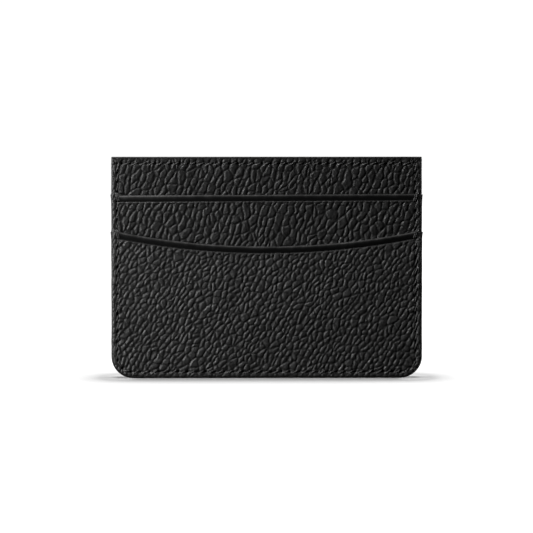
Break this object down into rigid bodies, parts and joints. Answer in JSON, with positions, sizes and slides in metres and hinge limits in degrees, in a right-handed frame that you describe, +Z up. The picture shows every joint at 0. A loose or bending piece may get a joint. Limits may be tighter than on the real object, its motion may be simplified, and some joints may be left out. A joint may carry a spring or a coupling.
{
  "type": "card holder",
  "caption": "Slim upright card holder with layered card pockets, a curved front mouth and an open middle compartment.",
  "frame": {"origin": "middle of the lower edge, half way through the thickness", "axes": "+X along the mouths to the right as seen from the front, +Y from the front face to the back face, +Z up from the lower edge to the open top"},
  "size_m": [0.1, 0.0082, 0.071],
  "materials": {
    "leather": "black pebbled grain, satin",
    "welt_leather": "black split leather, matt",
    "lining_cloth": "black twill lining",
    "edge_coat": "smooth black edge paint, satin",
    "thread": "black waxed polyester thread"
  },
  "bodies": {
    "root": {"front_body_panel": "leather", "front_body_lining": "lining_cloth", "front_top_edge_coat": "edge_coat", "front_top_stitches": "thread", "front_upper_welt": "welt_leather", "front_upper_pocket_lining": "lining_cloth", "front_upper_pocket": "leather", "front_upper_mouth_coat": "edge_coat", "front_lower_welt": "welt_leather", "front_lower_pocket_lining": "lining_cloth", "front_lower_pocket": "leather", "front_lower_mouth_coat": "edge_coat", "front_mouth_tacks": "thread", "back_body_panel": "leather", "back_body_lining": "lining_cloth", "back_top_edge_coat": "edge_coat", "back_top_stitches": "thread", "back_upper_welt": "welt_leather", "back_upper_pocket_lining": "lining_cloth", "back_upper_pocket": "leather", "back_upper_mouth_coat": "edge_coat", "back_lower_welt": "welt_leather", "back_lower_pocket_lining": "lining_cloth", "back_lower_pocket": "leather", "back_lower_mouth_coat": "edge_coat", "back_mouth_tacks": "thread", "middle_welt": "welt_leather", "side_edge_coat": "edge_coat", "front_seam_thread": "thread", "back_seam_thread": "thread"}
  },
  "joints": []
}
